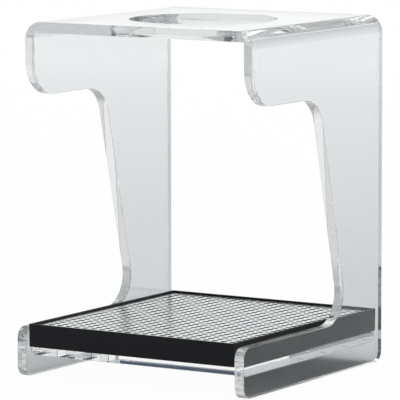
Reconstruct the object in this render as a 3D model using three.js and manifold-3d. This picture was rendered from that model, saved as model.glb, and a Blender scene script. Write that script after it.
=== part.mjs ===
// A clear bench stand that holds a round tool upright in its top plate, over a removable drip tray.
// One thick clear sheet is bent twice into an inverted U. Its side panels are cut to a C outline and
// a clear shelf is bonded between their bases. A black tray lies on the shelf and a steel grille,
// punched with square openings, lies on a ledge inside the tray.
// Millimetres, +Z up, +X right, -Y front. The origin is on the bench, under the middle of the base.

import * as THREE from 'three';
import { mergeVertices } from 'three/addons/utils/BufferGeometryUtils.js';
import Module from 'manifold-3d';

// Driving dimensions of the bent sheet.
const SHEET = 7.5;
const WIDTH = 187;
const HEIGHT = 250;
const BASE_DEPTH = 191;
const BEND_OUTER_RADIUS = 12.5;
const BEND_INNER_RADIUS = 1;

// Side outline: places along Y and Z, then the radii of its rounded corners.
const ARM_FRONT_Y = -83;
const ARM_BOTTOM_Z = 197.5;
const COLUMN_TOP_Y = 6;
const COLUMN_FOOT_Y = 46;
const BASE_TOP_Z = 35;
const ARM_CORNER_RADIUS = 25;
const COLUMN_TOP_RADIUS = 23;
const COLUMN_FOOT_RADIUS = 22;
const BASE_CORNER_RADIUS = 8;

// Round hole in the top plate.
const HOLE_DIAMETER = 105;
const HOLE_Y = 3;

// Shelf bonded between the side panels.
const SHELF_THICKNESS = 6.2;
const SHELF_FRONT_Y = -89;
const SHELF_BACK_Y = 90;
const SHELF_TOP_Z = 21.2;

// Gap kept between pieces that are bonded or that rest on each other.
const CONTACT_GAP = 0.3;

// Drip tray.
const TRAY_WIDTH = 169;
const TRAY_FRONT_Y = -94.5;
const TRAY_LENGTH = 189.5;
const TRAY_HEIGHT = 16.4;
const TRAY_DRAFT = 0.3;
const TRAY_CORNER_RADIUS = 0.8;
const TRAY_RIM = 2;
const TRAY_LEDGE = 3;
const TRAY_FLOOR = 2;

// Grille plate: how far it lies below the rim, and its field of openings.
const GRILLE_THICKNESS = 0.5;
const GRILLE_DEPTH_BELOW_RIM = 1.5;
const GRILLE_SIDE_GAP = 0.5;
const GRILLE_CORNER_RADIUS = 1;
const OPENING = 8.5;
const OPENING_PITCH = 14;
const OPENING_COLUMNS = 11;
const OPENING_ROWS = 12;
const FIELD_OFFSET_X = -2;

// Fineness of round shapes.
const ARC_STEPS = 10;
const HOLE_STEPS = 96;

// How far a cutting solid runs past what it cuts.
const CUT_MARGIN = 1;

const CLEAR_ACRYLIC = { color: 0xe6ebed, roughness: 0.05, metalness: 0, transparent: true, opacity: 0.3 };
const BLACK_ENAMEL = { color: 0x232528, roughness: 0.4, metalness: 0 };
const BRUSHED_STEEL = { color: 0xc8cacb, roughness: 0.25, metalness: 1 };

const wasm = await Module();
wasm.setup();

// Turns a closed geometry into a solid for cutting and joining.
function toSolid(geometry) {
  const bare = geometry.clone();
  bare.deleteAttribute('normal');
  bare.deleteAttribute('uv');
  const merged = mergeVertices(bare);
  const mesh = new wasm.Mesh({
    numProp: 3,
    vertProperties: new Float32Array(merged.attributes.position.array),
    triVerts: new Uint32Array(merged.index.array),
  });
  return new wasm.Manifold(mesh);
}

// Turns a solid back into a geometry.
function toGeometry(solid) {
  const mesh = solid.getMesh();
  const geometry = new THREE.BufferGeometry();
  geometry.setAttribute('position', new THREE.BufferAttribute(new Float32Array(mesh.vertProperties), 3));
  geometry.setIndex(new THREE.BufferAttribute(new Uint32Array(mesh.triVerts), 1));
  geometry.computeVertexNormals();
  return geometry;
}

// Closed outline through corners {x, y, r}, each rounded to its radius with a tangent arc.
function roundedOutline(corners) {
  const points = [];
  corners.forEach((corner, i) => {
    const at = new THREE.Vector2(corner.x, corner.y);
    if (corner.r === 0) {
      points.push(at);
      return;
    }
    const before = corners[(i + corners.length - 1) % corners.length];
    const after = corners[(i + 1) % corners.length];
    const toBefore = new THREE.Vector2(before.x, before.y).sub(at).normalize();
    const toAfter = new THREE.Vector2(after.x, after.y).sub(at).normalize();
    const halfAngle = Math.acos(toBefore.dot(toAfter)) / 2;
    const bisector = toBefore.clone().add(toAfter).normalize();
    const centre = at.clone().addScaledVector(bisector, corner.r / Math.sin(halfAngle));
    const tangentLength = corner.r / Math.tan(halfAngle);
    const start = at.clone().addScaledVector(toBefore, tangentLength).sub(centre);
    const end = at.clone().addScaledVector(toAfter, tangentLength).sub(centre);
    const sweep = Math.atan2(start.cross(end), start.dot(end));
    for (let step = 0; step <= ARC_STEPS; step += 1) {
      const turn = (sweep * step) / ARC_STEPS;
      points.push(start.clone().rotateAround(new THREE.Vector2(), turn).add(centre));
    }
  });
  return new THREE.Shape(points);
}

// Rectangle outline with rounded corners, given by its limits.
function roundedRectangle(x0, x1, y0, y1, r) {
  return [
    { x: x0, y: y0, r },
    { x: x1, y: y0, r },
    { x: x1, y: y1, r },
    { x: x0, y: y1, r },
  ];
}

// Extrudes an outline upwards from the given height.
function extrudeUp(shape, z0, height) {
  const geometry = new THREE.ExtrudeGeometry(shape, { depth: height, bevelEnabled: false, steps: 1 });
  geometry.translate(0, 0, z0);
  return geometry;
}

function makeMesh(name, geometry, finish) {
  const mesh = new THREE.Mesh(geometry, new THREE.MeshStandardMaterial(finish));
  mesh.name = name;
  return mesh;
}

// The two bends of the sheet, seen from the front and drawn out along the whole depth.
function bentSheetSolid() {
  const outer = WIDTH / 2;
  const inner = outer - SHEET;
  const shape = roundedOutline([
    { x: -outer, y: 0, r: 0 },
    { x: -inner, y: 0, r: 0 },
    { x: -inner, y: HEIGHT - SHEET, r: BEND_INNER_RADIUS },
    { x: inner, y: HEIGHT - SHEET, r: BEND_INNER_RADIUS },
    { x: inner, y: 0, r: 0 },
    { x: outer, y: 0, r: 0 },
    { x: outer, y: HEIGHT, r: BEND_OUTER_RADIUS },
    { x: -outer, y: HEIGHT, r: BEND_OUTER_RADIUS },
  ]);
  const geometry = new THREE.ExtrudeGeometry(shape, { depth: BASE_DEPTH, bevelEnabled: false, steps: 1 });
  geometry.rotateX(Math.PI / 2);
  geometry.translate(0, BASE_DEPTH / 2, 0);
  return toSolid(geometry);
}

// The side outline that both panels and the top plate are trimmed to, drawn out across the width.
function sideOutlineSolid() {
  const front = -BASE_DEPTH / 2;
  const back = BASE_DEPTH / 2;
  const shape = roundedOutline([
    { x: front, y: 0, r: BASE_CORNER_RADIUS },
    { x: back, y: 0, r: BASE_CORNER_RADIUS },
    { x: back, y: HEIGHT, r: 0 },
    { x: ARM_FRONT_Y, y: HEIGHT, r: 0 },
    { x: ARM_FRONT_Y, y: ARM_BOTTOM_Z, r: ARM_CORNER_RADIUS },
    { x: COLUMN_TOP_Y, y: ARM_BOTTOM_Z, r: COLUMN_TOP_RADIUS },
    { x: COLUMN_FOOT_Y, y: BASE_TOP_Z, r: COLUMN_FOOT_RADIUS },
    { x: front, y: BASE_TOP_Z, r: BASE_CORNER_RADIUS },
  ]);
  const length = WIDTH + 2 * CUT_MARGIN;
  const geometry = new THREE.ExtrudeGeometry(shape, { depth: length, bevelEnabled: false, steps: 1 });
  // Outline x runs along Y, outline y along Z, and the extrusion along X.
  geometry.applyMatrix4(new THREE.Matrix4().makeBasis(
    new THREE.Vector3(0, 1, 0),
    new THREE.Vector3(0, 0, 1),
    new THREE.Vector3(1, 0, 0),
  ));
  geometry.translate(-length / 2, 0, 0);
  return toSolid(geometry);
}

function standFrame() {
  const radius = HOLE_DIAMETER / 2;
  const drill = new THREE.CylinderGeometry(radius, radius, SHEET + 2 * CUT_MARGIN, HOLE_STEPS);
  drill.rotateX(Math.PI / 2);
  drill.translate(0, HOLE_Y, HEIGHT - SHEET / 2);
  const solid = bentSheetSolid().intersect(sideOutlineSolid()).subtract(toSolid(drill));
  return makeMesh('stand_frame', toGeometry(solid), CLEAR_ACRYLIC);
}

function trayShelf() {
  const width = WIDTH - 2 * SHEET - 2 * CONTACT_GAP;
  const geometry = new THREE.BoxGeometry(width, SHELF_BACK_Y - SHELF_FRONT_Y, SHELF_THICKNESS);
  geometry.translate(0, (SHELF_FRONT_Y + SHELF_BACK_Y) / 2, SHELF_TOP_Z - SHELF_THICKNESS / 2);
  return makeMesh('tray_shelf', geometry, CLEAR_ACRYLIC);
}

// The tray's outline at its rim, moved in by the given amount.
function trayOutline(inset, radius) {
  const half = TRAY_WIDTH / 2 - inset;
  const front = TRAY_FRONT_Y + inset;
  const back = TRAY_FRONT_Y + TRAY_LENGTH - inset;
  return roundedOutline(roundedRectangle(-half, half, front, back, radius));
}

function dripTray() {
  const bottom = SHELF_TOP_Z + CONTACT_GAP;
  const rim = bottom + TRAY_HEIGHT;
  const ledge = rim - GRILLE_DEPTH_BELOW_RIM - GRILLE_THICKNESS - CONTACT_GAP;
  const block = extrudeUp(trayOutline(0, TRAY_CORNER_RADIUS), bottom, TRAY_HEIGHT);
  // Draft: the outside is narrower and shorter at the bottom.
  const position = block.attributes.position;
  const middleY = TRAY_FRONT_Y + TRAY_LENGTH / 2;
  for (let i = 0; i < position.count; i += 1) {
    if (position.getZ(i) < rim - TRAY_HEIGHT / 2) {
      position.setX(i, position.getX(i) - Math.sign(position.getX(i)) * TRAY_DRAFT);
      position.setY(i, position.getY(i) - Math.sign(position.getY(i) - middleY) * TRAY_DRAFT);
    }
  }
  const recess = extrudeUp(trayOutline(TRAY_RIM, TRAY_CORNER_RADIUS / 2), ledge, rim - ledge + CUT_MARGIN);
  const well = extrudeUp(
    trayOutline(TRAY_RIM + TRAY_LEDGE, TRAY_CORNER_RADIUS),
    bottom + TRAY_FLOOR,
    TRAY_HEIGHT,
  );
  const solid = toSolid(block).subtract(toSolid(recess)).subtract(toSolid(well));
  return makeMesh('drip_tray', toGeometry(solid), BLACK_ENAMEL);
}

function grillePlate() {
  const top = SHELF_TOP_Z + CONTACT_GAP + TRAY_HEIGHT - GRILLE_DEPTH_BELOW_RIM;
  const outline = trayOutline(TRAY_RIM + GRILLE_SIDE_GAP, GRILLE_CORNER_RADIUS);
  const middleY = TRAY_FRONT_Y + TRAY_LENGTH / 2;
  const punchLength = 2 * (GRILLE_THICKNESS + CUT_MARGIN);
  const punch = toSolid(new THREE.BoxGeometry(OPENING, OPENING, punchLength));
  let solid = toSolid(extrudeUp(outline, top - GRILLE_THICKNESS, GRILLE_THICKNESS));
  for (let column = 0; column < OPENING_COLUMNS; column += 1) {
    const x = FIELD_OFFSET_X + (column - (OPENING_COLUMNS - 1) / 2) * OPENING_PITCH;
    for (let row = 0; row < OPENING_ROWS; row += 1) {
      const y = middleY + (row - (OPENING_ROWS - 1) / 2) * OPENING_PITCH;
      solid = solid.subtract(punch.translate([x, y, top]));
    }
  }
  return makeMesh('grille_plate', toGeometry(solid), BRUSHED_STEEL);
}

const stand = new THREE.Group();
stand.add(standFrame());
stand.add(trayShelf());
stand.add(dripTray());
stand.add(grillePlate());

export default stand;
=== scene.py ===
"""Looks of a clear acrylic bench stand with a black drip tray and a perforated steel grille.

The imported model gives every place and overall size. Its four parts are rebuilt here as three pieces at
their fine shape: polished edges and smooth bends on the sheet and its shelf, rounded rims on the tray,
round holes in the grille. Metres, +Z up, +X right, -Y front.
"""

import math

import bmesh
import bpy
from mathutils import Matrix, Vector


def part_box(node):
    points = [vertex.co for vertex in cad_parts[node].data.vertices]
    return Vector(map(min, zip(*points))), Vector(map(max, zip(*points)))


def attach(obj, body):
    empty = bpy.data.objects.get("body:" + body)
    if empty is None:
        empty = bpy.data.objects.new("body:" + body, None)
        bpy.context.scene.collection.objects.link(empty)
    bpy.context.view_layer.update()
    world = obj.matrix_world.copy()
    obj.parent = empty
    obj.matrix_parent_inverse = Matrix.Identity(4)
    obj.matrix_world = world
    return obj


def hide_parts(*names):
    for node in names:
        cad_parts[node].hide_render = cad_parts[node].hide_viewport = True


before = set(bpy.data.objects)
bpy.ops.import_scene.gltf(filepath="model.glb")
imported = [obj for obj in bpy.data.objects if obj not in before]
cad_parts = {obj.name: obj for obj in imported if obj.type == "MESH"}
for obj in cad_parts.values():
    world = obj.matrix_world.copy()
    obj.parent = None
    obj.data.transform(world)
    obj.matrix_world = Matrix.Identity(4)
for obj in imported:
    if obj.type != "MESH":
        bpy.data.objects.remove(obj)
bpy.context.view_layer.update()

MM = 0.001

# Shape of the bent sheet that the model's boxes don't give, and how far the shelf's ends go into it.
SHEET = 7.5 * MM
BEND_OUTER_RADIUS = 12.5 * MM
BEND_INNER_RADIUS = 1.0 * MM
ARM_FRONT_Y = -83 * MM
ARM_BOTTOM_Z = 197.5 * MM
COLUMN_TOP_Y = 6 * MM
COLUMN_FOOT_Y = 46 * MM
BASE_TOP_Z = 35 * MM
ARM_CORNER_RADIUS = 25 * MM
COLUMN_TOP_RADIUS = 23 * MM
COLUMN_FOOT_RADIUS = 22 * MM
BASE_CORNER_RADIUS = 8 * MM
TOP_HOLE_RADIUS = 52.5 * MM
TOP_HOLE_Y = 3 * MM
POLISHED_EDGE = 0.35 * MM
SHELF_IN_PANEL = 1 * MM

# Shape of the tray inside its box. The foot is where the walls meet the floor, inside and out.
TRAY_DRAFT = 0.3 * MM
TRAY_CORNER_RADIUS = 0.8 * MM
TRAY_LEAST_CORNER_RADIUS = 0.4 * MM
TRAY_RIM = 2 * MM
TRAY_LEDGE = 3 * MM
TRAY_FLOOR = 2 * MM
TRAY_RIM_ROUND = 0.3 * MM
TRAY_FOOT_ROUND = 0.6 * MM
TRAY_UNDERSIDE_INSET = 2.1 * MM
RESTING_GAP = 0.05 * MM

# Field of round holes in the grille and its centre, and the rolled lip at the top of each hole.
GRILLE_PITCH_X = 7.12 * MM
GRILLE_PITCH_Y = 6.81 * MM
GRILLE_HOLE_RADIUS = 2.4 * MM
GRILLE_LIP = 0.04 * MM
GRILLE_CORNER_RADIUS = 1 * MM
GRILLE_COLUMNS = 22
GRILLE_ROWS = 27
GRILLE_CENTRE_X = 1.2 * MM
GRILLE_CENTRE_Y = 0.4 * MM

# Fineness of round shapes.
ARC_STEPS = 40
TOP_HOLE_STEPS = 256
GRILLE_HOLE_STEPS = 24
TRAY_CORNER_STEPS = 10
TRAY_EDGE_STEPS = 5
GRILLE_CORNER_STEPS = 6
POLISHED_EDGE_STEPS = 2

# How far a cutting shape stands past what it cuts, the least angle between two faces that gets a
# polished edge, and the distance below which two places are the same.
CUTTER_SPARE = 5 * MM
SHARP_ANGLE = math.radians(40)
ROUNDING_ERROR = 0.001 * MM

# Acrylic, and the saw marks on its cut edges. The noise makes no mark up to the first number of the
# pair and a full mark from the second. Heights are above the shelf, and the marks fade between them,
# so the edges are darker and rougher towards the bench.
ACRYLIC_IOR = 1.49
SAW_MARK_SCALE = 620
SAW_MARK_DETAIL = 2.5
SAW_MARK_STRETCH = 0.12
SAW_MARK_NOISE = (0.45, 0.72)
SAW_MARKS_STRONG_TO = 10 * MM
SAW_MARKS_FAINT_FROM = 30 * MM
SAW_MARKS_FAINT = 0.05

# Camera, as angles round a point on the stand. Its lens and sensor are in millimetres.
CAMERA_AZIMUTH = math.radians(32.044)
CAMERA_PITCH = math.radians(7.028)
CAMERA_ROLL = math.radians(-0.114)
CAMERA_DISTANCE = 2.63558
CAMERA_AIM = Vector((-0.0086, 0.0120, 0.1193))
CAMERA_LENS = 331.95
CAMERA_SENSOR = 36.0
CAMERA_REACH = 100

# Studio: brightness of the room by direction. Each pair is two values of a direction's X, Y or Z, and
# the brightness changes from the one to the other.
ROOM_TINT = (0.99, 0.997, 1.0)
ROOM_FRONT = 0.3
ROOM_BACK = 0.98
ROOM_FRONT_TO_BACK = (-1.0, 0.4)
WALL_SHARE = 0.6
HORIZON_TO_WALL = (0.18, 0.36)
RIGHT_SHARE = 0.82
MIDDLE_TO_RIGHT = (-0.3, 0.5)
CEILING = 1.1
CEILING_IN_ACRYLIC = 0.45
WALL_TO_CEILING = (0.66, 0.86)

# Studio floor, with painted shade: darker by distance towards the stand, and towards the front and to the
# right.
FLOOR_REACH = 12
FLOOR_BELOW_STAND = 0.1 * MM
FLOOR_NEAR_TO_FAR = (0.25, 2.6)
FLOOR_NEAR_COLOUR = (0.578, 0.597, 0.615)
FLOOR_FAR_COLOUR = (0.965, 0.975, 0.985)
FLOOR_FRONT_SHARE = 0.8
FLOOR_FRONT_TO_STAND = (-0.8, 0)
FLOOR_RIGHT_SHARE = 0.7
FLOOR_STAND_TO_RIGHT = (0.1, 0.3)

# What the camera sees straight, past the object: a white room, and a floor that is almost all white.
WHITE = (1, 1, 1, 1)
FLOOR_WHITE_TO_CAMERA = 0.975

# Painted dark reflection: a dark card close behind the shelf, which only light piped along inside the
# shelf sees, gives its clear edge a dark line.
REFLECTION_CARD_BEHIND_SHELF = 40 * MM
REFLECTION_CARD_LEFT_X = -108 * MM
REFLECTION_CARD_RIGHT_X = 0
REFLECTION_CARD_LOW_Z = 4 * MM
REFLECTION_CARD_HIGH_Z = 17 * MM
REFLECTION_CARD_AFTER_BOUNCES = 3.5
PAINTED_REFLECTION_COLOUR = (0.05, 0.075, 0.115)

# Softbox over the stand, and how often light may bounce.
SOFTBOX_PLACE = Vector((-0.3, 0.2, 1.6))
SOFTBOX_AIM = Vector((0, 0, 0.1))
SOFTBOX_SIZE = 1.8
SOFTBOX_POWER = 6.5
LIGHT_BOUNCES = 64


# ---------------------------------------------------------------- node helpers


def new_material(name):
    material = bpy.data.materials.new(name)
    material.use_nodes = True
    tree = material.node_tree
    tree.nodes.clear()
    return material, tree


def finish_material(tree, shader):
    add(tree, "ShaderNodeOutputMaterial", {"Surface": shader.outputs[0]})


def add(tree, kind, inputs=None, **settings):
    """Adds a node. An input is given a value of its own, or the output of another node."""
    node = tree.nodes.new(kind)
    for name, value in settings.items():
        setattr(node, name, value)
    for socket, value in (inputs or {}).items():
        if isinstance(value, bpy.types.NodeSocket):
            tree.links.new(value, node.inputs[socket])
        else:
            node.inputs[socket].default_value = value
    return node


def calculate(tree, operation, first, second):
    """One step of arithmetic, each side of which is a number or another node's output."""
    return add(tree, "ShaderNodeMath", {0: first, 1: second}, operation=operation).outputs[0]


def remap(tree, value, source, target):
    """Turns values from one pair's range into the other's, and holds those outside it."""
    return add(tree, "ShaderNodeMapRange", {
        "Value": value,
        "From Min": source[0],
        "From Max": source[1],
        "To Min": target[0],
        "To Max": target[1],
    }).outputs["Result"]


def blend_colour(tree, factor, first, second):
    inputs = {"Factor": factor, "A": (*first, 1), "B": (*second, 1)}
    return add(tree, "ShaderNodeMix", inputs, data_type="RGBA").outputs["Result"]


def mix_shaders(tree, factor, first, second):
    return add(tree, "ShaderNodeMixShader", {"Fac": factor, 1: first.outputs[0], 2: second.outputs[0]})


def place_on_piece(tree):
    """The place of the point being shaded, in the piece's own frame."""
    return add(tree, "ShaderNodeTexCoord").outputs["Object"]


def split(tree, vector):
    return add(tree, "ShaderNodeSeparateXYZ", {"Vector": vector}).outputs


def noise(tree, scale, detail, stretch=(1, 1, 1)):
    """Cloudy noise through the piece. A stretch below 1 draws it out into streaks along that axis."""
    mapping = add(tree, "ShaderNodeMapping", {"Vector": place_on_piece(tree), "Scale": stretch})
    texture = add(tree, "ShaderNodeTexNoise", {
        "Vector": mapping.outputs["Vector"],
        "Scale": scale,
        "Detail": detail,
    })
    return texture.outputs["Fac"]


def bump(tree, height, strength, distance):
    inputs = {"Height": height, "Strength": strength, "Distance": distance}
    return add(tree, "ShaderNodeBump", inputs).outputs["Normal"]


# ---------------------------------------------------------------- materials


def acrylic_face():
    """Smooth sides of the sheet: nearly clear, with faint waves, rare hairlines and hazy patches."""
    material, tree = new_material("clear_acrylic")
    clear = (0.985, 0.99, 0.988)
    hazy = (0.972, 0.98, 0.98)
    haze = noise(tree, scale=60, detail=5)
    hairlines = noise(tree, scale=900, detail=2, stretch=(1, 1, 0.08))
    waves = noise(tree, scale=18, detail=1)
    shader = add(tree, "ShaderNodeBsdfPrincipled", {
        "Base Color": blend_colour(tree, haze, clear, hazy),
        "Roughness": remap(tree, hairlines, source=(0.6, 0.75), target=(0, 0.03)),
        "Normal": bump(tree, waves, strength=0.03, distance=1 * MM),
        "Specular IOR Level": 0.3,
        "IOR": ACRYLIC_IOR,
        "Transmission Weight": 1,
    })
    finish_material(tree, shader)
    return material


def saw_marks(tree):
    """Fine lines across a cut edge, which run along X on the panels and along Z on the top plate."""
    on_panels = noise(tree, SAW_MARK_SCALE, SAW_MARK_DETAIL, (SAW_MARK_STRETCH, 1, 1))
    on_plate = noise(tree, SAW_MARK_SCALE, SAW_MARK_DETAIL, (1, 1, SAW_MARK_STRETCH))
    height = split(tree, place_on_piece(tree))["Z"]
    plate_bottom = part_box("stand_frame")[1][2] - SHEET
    is_plate = calculate(tree, "GREATER_THAN", height, plate_bottom)
    inputs = {"Factor": is_plate, "A": on_panels, "B": on_plate}
    either = add(tree, "ShaderNodeMix", inputs, data_type="FLOAT").outputs["Result"]
    marks = remap(tree, either, SAW_MARK_NOISE, (0, 1))
    shelf_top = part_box("tray_shelf")[1][2]
    fading = (shelf_top + SAW_MARKS_STRONG_TO, shelf_top + SAW_MARKS_FAINT_FROM)
    return calculate(tree, "MULTIPLY", marks, remap(tree, height, fading, (1, SAW_MARKS_FAINT)))


def acrylic_edge():
    """Cut edges: polished, and darker, rougher and streaked with saw marks towards the bench."""
    material, tree = new_material("polished_acrylic_edge")
    polished = (0.86, 0.875, 0.865)
    sawn = (0.42, 0.44, 0.44)
    marks = saw_marks(tree)
    shader = add(tree, "ShaderNodeBsdfPrincipled", {
        "Base Color": blend_colour(tree, marks, polished, sawn),
        "Roughness": remap(tree, marks, source=(0, 1), target=(0.015, 0.14)),
        "Normal": bump(tree, marks, strength=0.35, distance=0.2 * MM),
        "IOR": ACRYLIC_IOR,
        "Transmission Weight": 1,
    })
    finish_material(tree, shader)
    return material


def satin_black():
    """Satin black coating: fine orange peel, slightly uneven gloss, bluish black."""
    material, tree = new_material("satin_black")
    deep = (0.007, 0.0075, 0.010)
    faded = (0.013, 0.0135, 0.017)
    cloud = noise(tree, scale=40, detail=4)
    grain = noise(tree, scale=2500, detail=3)
    shader = add(tree, "ShaderNodeBsdfPrincipled", {
        "Base Color": blend_colour(tree, cloud, deep, faded),
        "Roughness": remap(tree, cloud, source=(0.2, 0.8), target=(0.42, 0.56)),
        "Normal": bump(tree, grain, strength=0.2, distance=0.2 * MM),
        "Specular IOR Level": 0.24,
    })
    finish_material(tree, shader)
    return material


def perforated_steel():
    """Bright rolled steel: faint grain along Y and slightly cloudy gloss."""
    material, tree = new_material("perforated_steel")
    dull = (0.865, 0.91, 0.915)
    bright = (0.925, 0.963, 0.967)
    cloud = noise(tree, scale=25, detail=3)
    grain = noise(tree, scale=700, detail=3, stretch=(1, 0.02, 1))
    shader = add(tree, "ShaderNodeBsdfPrincipled", {
        "Base Color": blend_colour(tree, cloud, dull, bright),
        "Roughness": remap(tree, grain, source=(0.3, 0.7), target=(0.2, 0.3)),
        "Normal": bump(tree, grain, strength=0.04, distance=0.2 * MM),
        "Metallic": 1,
    })
    finish_material(tree, shader)
    return material


def painted_shade_hole_wall():
    """Sheared metal inside the holes, painted nearly black as shade in the holes: rough and streaked from
    top to bottom.
    """
    material, tree = new_material("painted_shade_hole_wall")
    # Painted shade: both colours are nearly black, so the hole walls read as the dark inside of the holes.
    painted_dark = (0.02, 0.021, 0.023)
    burnish_in_painted_shade = (0.06, 0.062, 0.065)
    streaks = noise(tree, scale=3000, detail=2, stretch=(1, 1, 0.1))
    shader = add(tree, "ShaderNodeBsdfPrincipled", {
        "Base Color": blend_colour(tree, streaks, painted_dark, burnish_in_painted_shade),
        "Roughness": remap(tree, streaks, source=(0.3, 0.7), target=(0.4, 0.6)),
        "Normal": bump(tree, streaks, strength=0.3, distance=0.05 * MM),
        "Metallic": 1,
    })
    finish_material(tree, shader)
    return material


# ---------------------------------------------------------------- outlines and meshes


def rounded(corners, steps=ARC_STEPS):
    """Points of a closed outline whose corners (x, y, radius) are rounded with tangent arcs."""
    points = []
    for i, (x, y, radius) in enumerate(corners):
        at = Vector((x, y))
        if radius == 0:
            points.append(at)
            continue
        before = (Vector(corners[i - 1][:2]) - at).normalized()
        after = (Vector(corners[(i + 1) % len(corners)][:2]) - at).normalized()
        half = before.angle(after) / 2
        centre = at + (before + after).normalized() * (radius / math.sin(half))
        reach = radius / math.tan(half)
        start = at + before * reach - centre
        end = at + after * reach - centre
        sweep = math.atan2(start.x * end.y - start.y * end.x, start.dot(end))
        for step in range(steps + 1):
            points.append(centre + Matrix.Rotation(sweep * step / steps, 2) @ start)
    return points


def rectangle(x0, x1, y0, y1, radius):
    """Corners of a rectangle, for rounded()."""
    return [(x0, y0, radius), (x1, y0, radius), (x1, y1, radius), (x0, y1, radius)]


def circle(centre, radius, turns):
    """Points on a circle at the given angles."""
    return [centre + radius * Vector((math.cos(turn), math.sin(turn))) for turn in turns]


def ring(bm, points, z):
    """Vertices along an outline at one height."""
    return [bm.verts.new((p.x, p.y, z)) for p in points]


def join_rings(bm, first, second, material_index=0):
    """A band of faces between two rings with as many vertices each."""
    count = len(first)
    for i in range(count):
        j = (i + 1) % count
        face = bm.faces.new((first[i], first[j], second[j], second[i]))
        face.material_index = material_index


def new_object(name, mesh, *materials):
    for material in materials:
        mesh.materials.append(material)
    piece = bpy.data.objects.new(name, mesh)
    bpy.context.scene.collection.objects.link(piece)
    return piece


def object_from(bm, name, *materials):
    """Turns all faces outwards and makes the mesh an object."""
    bmesh.ops.recalc_face_normals(bm, faces=bm.faces)
    mesh = bpy.data.meshes.new(name)
    bm.to_mesh(mesh)
    bm.free()
    return new_object(name, mesh, *materials)


def stage_panel(name, corners, material):
    """A flat four-sided part of the studio."""
    mesh = bpy.data.meshes.new(name)
    mesh.from_pydata(corners, [], [(0, 1, 2, 3)])
    new_object(name, mesh, material)


# Where an outline's point goes in space when the outline is pushed out along an axis.


def along_x(y, z, x):
    return (x, y, z)


def along_y(x, z, y):
    return (x, y, z)


def along_z(x, y, z):
    return (x, y, z)


def prism(name, points, place, start, end, *materials):
    """Pushes an outline out from start to end along the axis that place names."""
    bm = bmesh.new()
    rings = [[bm.verts.new(place(p.x, p.y, distance)) for p in points] for distance in (start, end)]
    bm.faces.new(rings[0])
    bm.faces.new(rings[1])
    join_rings(bm, *rings)
    return object_from(bm, name, *materials)


def apply_modifiers(piece):
    depsgraph = bpy.context.evaluated_depsgraph_get()
    mesh = bpy.data.meshes.new_from_object(piece.evaluated_get(depsgraph))
    piece.modifiers.clear()
    piece.data = mesh


def combine(piece, tool, operation):
    """Joins the tool to the piece or cuts with it, and removes the tool."""
    modifier = piece.modifiers.new("combine", "BOOLEAN")
    modifier.object = tool
    modifier.operation = operation
    modifier.solver = "EXACT"
    modifier.material_mode = "TRANSFER"
    apply_modifiers(piece)
    bpy.data.objects.remove(tool)


def polish_edges(piece):
    modifier = piece.modifiers.new("edges", "BEVEL")
    modifier.width = POLISHED_EDGE
    modifier.segments = POLISHED_EDGE_STEPS
    modifier.limit_method = "ANGLE"
    modifier.angle_limit = SHARP_ANGLE
    modifier.use_clamp_overlap = False
    apply_modifiers(piece)


# ---------------------------------------------------------------- pieces


def bent_sheet(face):
    """The sheet bent to an upside-down U, longer than the stand at the front and the back."""
    low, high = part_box("stand_frame")
    outer = high[0]
    inner = outer - SHEET
    top = high[2]
    section = rounded([
        (-outer, 0, 0),
        (-inner, 0, 0),
        (-inner, top - SHEET, BEND_INNER_RADIUS),
        (inner, top - SHEET, BEND_INNER_RADIUS),
        (inner, 0, 0),
        (outer, 0, 0),
        (outer, top, BEND_OUTER_RADIUS),
        (-outer, top, BEND_OUTER_RADIUS),
    ])
    return prism("clear_frame", section, along_y, low[1] - CUTTER_SPARE, high[1] + CUTTER_SPARE, face)


def trim_to_side_shape(piece, edge):
    """Leaves the arm, the slanted column and the base that both panels show from the side."""
    low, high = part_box("stand_frame")
    above = high[2] + CUTTER_SPARE
    side = rounded([
        (low[1], 0, BASE_CORNER_RADIUS),
        (high[1], 0, BASE_CORNER_RADIUS),
        (high[1], above, 0),
        (ARM_FRONT_Y, above, 0),
        (ARM_FRONT_Y, ARM_BOTTOM_Z, ARM_CORNER_RADIUS),
        (COLUMN_TOP_Y, ARM_BOTTOM_Z, COLUMN_TOP_RADIUS),
        (COLUMN_FOOT_Y, BASE_TOP_Z, COLUMN_FOOT_RADIUS),
        (low[1], BASE_TOP_Z, BASE_CORNER_RADIUS),
    ])
    trim = prism("trim", side, along_x, low[0] - CUTTER_SPARE, high[0] + CUTTER_SPARE, edge)
    # The base's round corners end on the bench itself, not a rounding error off it.
    for vertex in trim.data.vertices:
        if vertex.co.z < ROUNDING_ERROR:
            vertex.co.z = 0
    combine(piece, trim, "INTERSECT")


def drill_top_hole(piece, edge):
    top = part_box("stand_frame")[1][2]
    turns = [2 * math.pi * i / TOP_HOLE_STEPS for i in range(TOP_HOLE_STEPS)]
    hole = circle(Vector((0, TOP_HOLE_Y)), TOP_HOLE_RADIUS, turns)
    drill = prism("drill", hole, along_z, top - SHEET - CUTTER_SPARE, top + CUTTER_SPARE, edge)
    combine(piece, drill, "DIFFERENCE")


def add_shelf(piece, face):
    low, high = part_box("tray_shelf")
    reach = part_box("stand_frame")[1][0] - SHEET + SHELF_IN_PANEL
    outline = rounded(rectangle(-reach, reach, low[1], high[1], 0))
    combine(piece, prism("shelf", outline, along_z, low[2], high[2], face), "UNION")


def make_stand(face, edge):
    """The bent sheet with its shelf, as one, because a bonded joint doesn't show in clear acrylic."""
    piece = bent_sheet(face)
    trim_to_side_shape(piece, edge)
    drill_top_hole(piece, edge)
    add_shelf(piece, face)
    polish_edges(piece)
    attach(piece, "stand")
    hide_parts("stand_frame", "tray_shelf")


def round_edge(inset, z, radius, start, end):
    """Points (inset, z) of a round edge in the tray's profile, as an arc between two angles in degrees."""
    points = []
    for step in range(TRAY_EDGE_STEPS + 1):
        turn = math.radians(start + (end - start) * step / TRAY_EDGE_STEPS)
        points.append((inset + radius * math.cos(turn), z + radius * math.sin(turn)))
    return points


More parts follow.
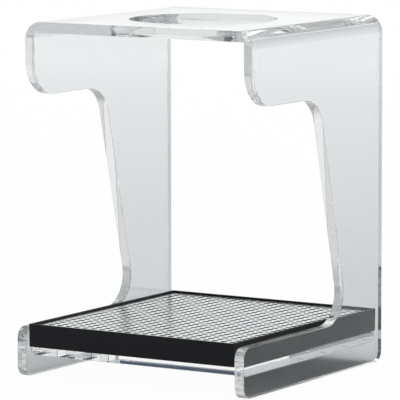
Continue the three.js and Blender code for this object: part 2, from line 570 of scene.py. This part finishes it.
def make_tray(material):
    """The tray as one skin, from its underside over the rim and the ledge down to its floor."""
    low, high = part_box("drip_tray")
    rim = high[2]
    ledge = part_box("grille_plate")[0][2] - RESTING_GAP
    floor = low[2] + TRAY_FLOOR
    well = TRAY_RIM + TRAY_LEDGE
    soft = TRAY_RIM_ROUND
    foot = TRAY_FOOT_ROUND
    profile = [(TRAY_UNDERSIDE_INSET, low[2])]
    profile += round_edge(TRAY_DRAFT + foot, low[2] + foot, foot, 270, 180)
    profile += round_edge(soft, rim - soft, soft, 180, 90)
    profile += round_edge(TRAY_RIM - soft, rim - soft, soft, 90, 0)
    profile += [(TRAY_RIM, ledge)]
    profile += round_edge(well - soft, ledge - soft, soft, 90, 0)
    profile += round_edge(well + foot, floor + foot, foot, 180, 270)
    bm = bmesh.new()
    rings = []
    for inset, z in profile:
        radius = max(TRAY_CORNER_RADIUS - inset, TRAY_LEAST_CORNER_RADIUS)
        corners = rectangle(low[0] + inset, high[0] - inset, low[1] + inset, high[1] - inset, radius)
        rings.append(ring(bm, rounded(corners, TRAY_CORNER_STEPS), z))
    for below, above in zip(rings, rings[1:]):
        join_rings(bm, below, above)
    bm.faces.new(rings[0])
    bm.faces.new(rings[-1])
    piece = object_from(bm, "black_tray", material)
    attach(piece, "tray")
    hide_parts("drip_tray")


def add_hole(bm, centre, low_z, high_z):
    """One cell of the plate, with a round hole and its rolled lip. The hole's wall has material 1."""
    cell = []
    turns = []
    per_side = GRILLE_HOLE_STEPS // 4
    for i in range(GRILLE_HOLE_STEPS):
        side, part = divmod(i, per_side)
        on_square = Matrix.Rotation(math.pi / 2 * side, 2) @ Vector((1, 2 * part / per_side - 1))
        corner = Vector((on_square.x * GRILLE_PITCH_X / 2, on_square.y * GRILLE_PITCH_Y / 2))
        cell.append(centre + corner)
        turns.append(math.atan2(corner.y, corner.x))
    hole = circle(centre, GRILLE_HOLE_RADIUS, turns)
    lip = circle(centre, GRILLE_HOLE_RADIUS + GRILLE_LIP, turns)
    cell_top = ring(bm, cell, high_z)
    lip_top = ring(bm, lip, high_z)
    hole_top = ring(bm, hole, high_z - GRILLE_LIP)
    hole_bottom = ring(bm, hole, low_z)
    cell_bottom = ring(bm, cell, low_z)
    join_rings(bm, cell_top, lip_top)
    join_rings(bm, lip_top, hole_top)
    join_rings(bm, hole_top, hole_bottom, material_index=1)
    join_rings(bm, hole_bottom, cell_bottom)


def make_grille(steel, wall):
    """The plate: cells with a hole each, and a solid margin round them."""
    low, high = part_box("grille_plate")
    bm = bmesh.new()
    for column in range(GRILLE_COLUMNS):
        for row in range(GRILLE_ROWS):
            x = GRILLE_CENTRE_X + (column - (GRILLE_COLUMNS - 1) / 2) * GRILLE_PITCH_X
            y = GRILLE_CENTRE_Y + (row - (GRILLE_ROWS - 1) / 2) * GRILLE_PITCH_Y
            add_hole(bm, Vector((x, y)), low[2], high[2])
    bmesh.ops.remove_doubles(bm, verts=bm.verts, dist=ROUNDING_ERROR)
    # The margin fills both faces between the field of holes and the edge of the plate.
    field_edges = [edge for edge in bm.edges if edge.is_boundary]
    corners = rectangle(low[0], high[0], low[1], high[1], GRILLE_CORNER_RADIUS)
    outline = rounded(corners, GRILLE_CORNER_STEPS)
    levels = (low[2], high[2])
    borders = [ring(bm, outline, z) for z in levels]
    join_rings(bm, *borders)
    for border, z in zip(borders, levels):
        loop = [bm.edges.get((border[i - 1], border[i])) for i in range(len(border))]
        loop += [edge for edge in field_edges if abs(edge.verts[0].co.z - z) < ROUNDING_ERROR]
        bmesh.ops.triangle_fill(bm, use_beauty=True, edges=loop)
    piece = object_from(bm, "steel_grille", steel, wall)
    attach(piece, "grille")
    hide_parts("grille_plate")


# ---------------------------------------------------------------- stage


def make_camera():
    level = math.cos(CAMERA_PITCH)
    back = Vector((
        math.sin(CAMERA_AZIMUTH) * level,
        -math.cos(CAMERA_AZIMUTH) * level,
        math.sin(CAMERA_PITCH),
    ))
    right = Vector((math.cos(CAMERA_AZIMUTH), math.sin(CAMERA_AZIMUTH), 0))
    up = back.cross(right)
    axes = Matrix((right, up, back)).transposed() @ Matrix.Rotation(CAMERA_ROLL, 3, "Z")
    data = bpy.data.cameras.new("camera")
    data.lens = CAMERA_LENS
    data.sensor_width = CAMERA_SENSOR
    data.clip_end = CAMERA_REACH
    camera = bpy.data.objects.new("camera", data)
    camera.matrix_world = Matrix.Translation(CAMERA_AIM + back * CAMERA_DISTANCE) @ axes.to_4x4()
    bpy.context.scene.collection.objects.link(camera)
    bpy.context.scene.camera = camera


def make_world():
    """Bright low down behind the object, dimmer higher on the walls and to the right, bright overhead."""
    world = bpy.data.worlds.new("studio")
    bpy.context.scene.world = world
    world.use_nodes = True
    tree = world.node_tree
    tree.nodes.clear()
    direction = split(tree, add(tree, "ShaderNodeTexCoord").outputs["Generated"])
    strength = remap(tree, direction["Y"], ROOM_FRONT_TO_BACK, (ROOM_FRONT, ROOM_BACK))
    on_wall = remap(tree, direction["Z"], HORIZON_TO_WALL, (1, WALL_SHARE))
    strength = calculate(tree, "MULTIPLY", strength, on_wall)
    on_right = remap(tree, direction["X"], MIDDLE_TO_RIGHT, (1, RIGHT_SHARE))
    strength = calculate(tree, "MULTIPLY", strength, on_right)
    # Light that comes by reflection or through the acrylic sees a dimmer ceiling than the floor does.
    rays = add(tree, "ShaderNodeLightPath").outputs
    by_gloss = calculate(tree, "MAXIMUM", rays["Is Glossy Ray"], rays["Is Transmission Ray"])
    ceiling = remap(tree, by_gloss, (0, 1), (CEILING, CEILING_IN_ACRYLIC))
    overhead = remap(tree, direction["Z"], WALL_TO_CEILING, (0, 1))
    strength = calculate(tree, "ADD", strength, calculate(tree, "MULTIPLY", ceiling, overhead))
    studio = add(tree, "ShaderNodeBackground", {"Color": (*ROOM_TINT, 1), "Strength": strength})
    white = add(tree, "ShaderNodeBackground", {"Color": WHITE})
    mix = mix_shaders(tree, rays["Is Camera Ray"], studio, white)
    add(tree, "ShaderNodeOutputWorld", {"Surface": mix.outputs[0]})


def make_floor():
    material, tree = new_material("floor")
    place = place_on_piece(tree)
    distance = add(tree, "ShaderNodeVectorMath", {"Vector": place}, operation="LENGTH").outputs["Value"]
    # Painted shade: the floor's colour goes from dark near the stand to light far off, and is darker in
    # front and to the right.
    far = remap(tree, distance, FLOOR_NEAR_TO_FAR, (0, 1))
    colour = blend_colour(tree, far, FLOOR_NEAR_COLOUR, FLOOR_FAR_COLOUR)
    direction = split(tree, place)
    in_front = remap(tree, direction["Y"], FLOOR_FRONT_TO_STAND, (FLOOR_FRONT_SHARE, 1))
    on_right = remap(tree, direction["X"], FLOOR_STAND_TO_RIGHT, (1, FLOOR_RIGHT_SHARE))
    share = calculate(tree, "MULTIPLY", in_front, on_right)
    shade = add(tree, "ShaderNodeVectorMath", {"Vector": colour, "Scale": share}, operation="SCALE")
    lit = add(tree, "ShaderNodeBsdfDiffuse", {"Color": shade.outputs["Vector"]})
    white = add(tree, "ShaderNodeEmission", {"Color": WHITE})
    to_camera = add(tree, "ShaderNodeLightPath").outputs["Is Camera Ray"]
    whiteness = calculate(tree, "MULTIPLY", to_camera, FLOOR_WHITE_TO_CAMERA)
    finish_material(tree, mix_shaders(tree, whiteness, lit, white))
    corners = [
        (-FLOOR_REACH, -FLOOR_REACH, -FLOOR_BELOW_STAND),
        (FLOOR_REACH, -FLOOR_REACH, -FLOOR_BELOW_STAND),
        (FLOOR_REACH, FLOOR_REACH, -FLOOR_BELOW_STAND),
        (-FLOOR_REACH, FLOOR_REACH, -FLOOR_BELOW_STAND),
    ]
    stage_panel("floor", corners, material)


def make_painted_edge_reflection():
    """Painted dark reflection: only light that has been piped along inside the shelf sees the card, which
    glows dark for it.
    """
    material, tree = new_material("painted_edge_reflection")
    bounces = add(tree, "ShaderNodeLightPath").outputs["Glossy Depth"]
    piped = calculate(tree, "GREATER_THAN", bounces, REFLECTION_CARD_AFTER_BOUNCES)
    clear = add(tree, "ShaderNodeBsdfTransparent")
    # The card's painted dark reflection, which shows in the shelf's edge.
    painted_dark = add(tree, "ShaderNodeEmission", {"Color": (*PAINTED_REFLECTION_COLOUR, 1)})
    finish_material(tree, mix_shaders(tree, piped, clear, painted_dark))
    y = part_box("tray_shelf")[1][1] + REFLECTION_CARD_BEHIND_SHELF
    corners = [
        (REFLECTION_CARD_LEFT_X, y, REFLECTION_CARD_LOW_Z),
        (REFLECTION_CARD_RIGHT_X, y, REFLECTION_CARD_LOW_Z),
        (REFLECTION_CARD_RIGHT_X, y, REFLECTION_CARD_HIGH_Z),
        (REFLECTION_CARD_LEFT_X, y, REFLECTION_CARD_HIGH_Z),
    ]
    stage_panel("painted_edge_reflection", corners, material)


def make_softbox():
    data = bpy.data.lights.new("top_softbox", "AREA")
    data.size = SOFTBOX_SIZE
    data.energy = SOFTBOX_POWER
    light = bpy.data.objects.new("top_softbox", data)
    light.location = SOFTBOX_PLACE
    light.rotation_euler = (SOFTBOX_AIM - SOFTBOX_PLACE).to_track_quat("-Z", "Y").to_euler()
    bpy.context.scene.collection.objects.link(light)


def set_up_rendering():
    """Plain colours, and enough bounces for the light that stays long inside the acrylic."""
    scene = bpy.context.scene
    scene.view_settings.view_transform = "Standard"
    scene.cycles.max_bounces = LIGHT_BOUNCES
    scene.cycles.glossy_bounces = LIGHT_BOUNCES
    scene.cycles.transmission_bounces = LIGHT_BOUNCES


make_camera()
make_world()
make_floor()
make_painted_edge_reflection()
make_softbox()
set_up_rendering()
make_stand(acrylic_face(), acrylic_edge())
make_tray(satin_black())
make_grille(perforated_steel(), painted_shade_hole_wall())
